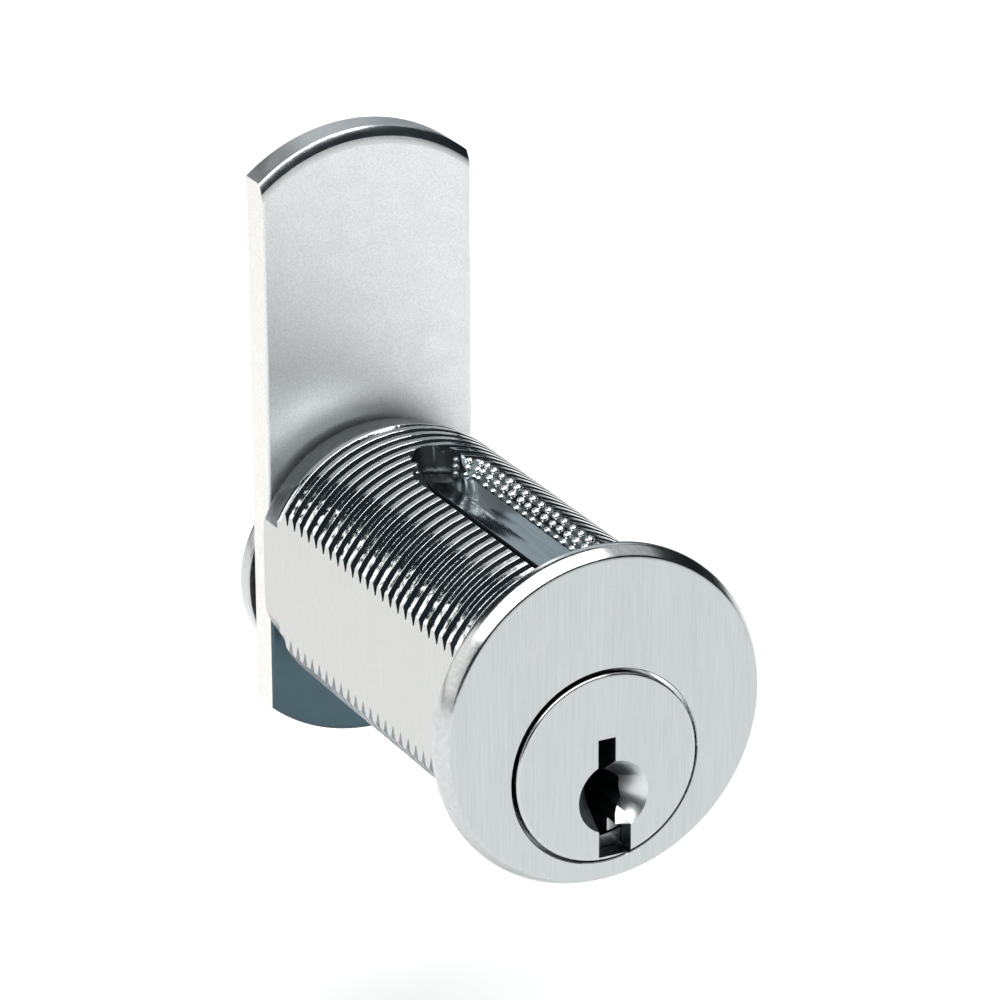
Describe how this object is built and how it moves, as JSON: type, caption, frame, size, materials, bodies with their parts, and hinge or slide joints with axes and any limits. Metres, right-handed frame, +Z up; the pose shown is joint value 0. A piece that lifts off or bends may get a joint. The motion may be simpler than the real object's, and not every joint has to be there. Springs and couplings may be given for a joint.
{
  "type": "cam lock",
  "caption": "Pin-tumbler cam lock: round flange, threaded barrel flattened on its sides, a keyed plug that turns, and a flat cam bar across the rear that swings to latch.",
  "frame": {"origin": "on the threaded barrel's axis, in the plane of the flange's rear face, where the panel's front surface sits", "axes": "+X to the right and +Z up as seen from the key side, +Y along the barrel away from the face, towards the cam"},
  "size_m": [0.0264, 0.0479, 0.0495],
  "materials": {
    "shell": "nickel plated, bright on the threads, brushed on the flange face and flats",
    "cover": "satin strip, darker than the barrel",
    "plug": "nickel plated, face brushed up and down",
    "pin": "bright turned brass",
    "spring": "bright spring wire",
    "cam": "satin nickel plate over tumbled steel, fine grain",
    "fixing": "nickel plated steel"
  },
  "bodies": {
    "lock_body": {"cylinder_shell": "shell", "chamber_cover": "cover", "cover_pin": "fixing", "pin_spring_1": "spring", "pin_spring_2": "spring", "pin_spring_3": "spring", "pin_spring_4": "spring", "pin_spring_5": "spring"},
    "turning_plug": {"plug": "plug", "stop_washer": "fixing", "cam": "cam", "lock_washer": "fixing", "cam_nut": "fixing"},
    "driver_1": {"driver_pin_1": "pin"},
    "driver_2": {"driver_pin_2": "pin"},
    "driver_3": {"driver_pin_3": "pin"},
    "driver_4": {"driver_pin_4": "pin"},
    "driver_5": {"driver_pin_5": "pin"},
    "key_pin_1": {"key_pin_1": "pin"},
    "key_pin_2": {"key_pin_2": "pin"},
    "key_pin_3": {"key_pin_3": "pin"},
    "key_pin_4": {"key_pin_4": "pin"},
    "key_pin_5": {"key_pin_5": "pin"}
  },
  "joints": [
    {"name": "plug_turn", "type": "hinge", "parent": "lock_body", "child": "turning_plug", "pos_m": [0, 0, -0.00364], "axis": [0, 1, 0], "range_deg": [0, 90]},
    {"name": "driver_slide_1", "type": "slide", "parent": "lock_body", "child": "driver_1", "axis": [0, 0, 1], "range_m": [0, 0.0014], "stiffness_N_per_m": 60, "springref_m": -0.002, "deforming": ["pin_spring_1"]},
    {"name": "driver_slide_2", "type": "slide", "parent": "lock_body", "child": "driver_2", "axis": [0, 0, 1], "range_m": [0, 0.0014], "stiffness_N_per_m": 60, "springref_m": -0.002, "deforming": ["pin_spring_2"]},
    {"name": "driver_slide_3", "type": "slide", "parent": "lock_body", "child": "driver_3", "axis": [0, 0, 1], "range_m": [0, 0.0014], "stiffness_N_per_m": 60, "springref_m": -0.002, "deforming": ["pin_spring_3"]},
    {"name": "driver_slide_4", "type": "slide", "parent": "lock_body", "child": "driver_4", "axis": [0, 0, 1], "range_m": [0, 0.0014], "stiffness_N_per_m": 60, "springref_m": -0.002, "deforming": ["pin_spring_4"]},
    {"name": "driver_slide_5", "type": "slide", "parent": "lock_body", "child": "driver_5", "axis": [0, 0, 1], "range_m": [0, 0.0014], "stiffness_N_per_m": 60, "springref_m": -0.002, "deforming": ["pin_spring_5"]},
    {"name": "key_pin_slide_1", "type": "slide", "parent": "turning_plug", "child": "key_pin_1", "axis": [0, 0, 1], "range_m": [-0.00073, 0]},
    {"name": "key_pin_slide_2", "type": "slide", "parent": "turning_plug", "child": "key_pin_2", "axis": [0, 0, 1], "range_m": [-0.00143, 0]},
    {"name": "key_pin_slide_3", "type": "slide", "parent": "turning_plug", "child": "key_pin_3", "axis": [0, 0, 1], "range_m": [-0.00033, 0]},
    {"name": "key_pin_slide_4", "type": "slide", "parent": "turning_plug", "child": "key_pin_4", "axis": [0, 0, 1], "range_m": [-0.00103, 0]},
    {"name": "key_pin_slide_5", "type": "slide", "parent": "turning_plug", "child": "key_pin_5", "axis": [0, 0, 1], "range_m": [-0.00153, 0]}
  ]
}
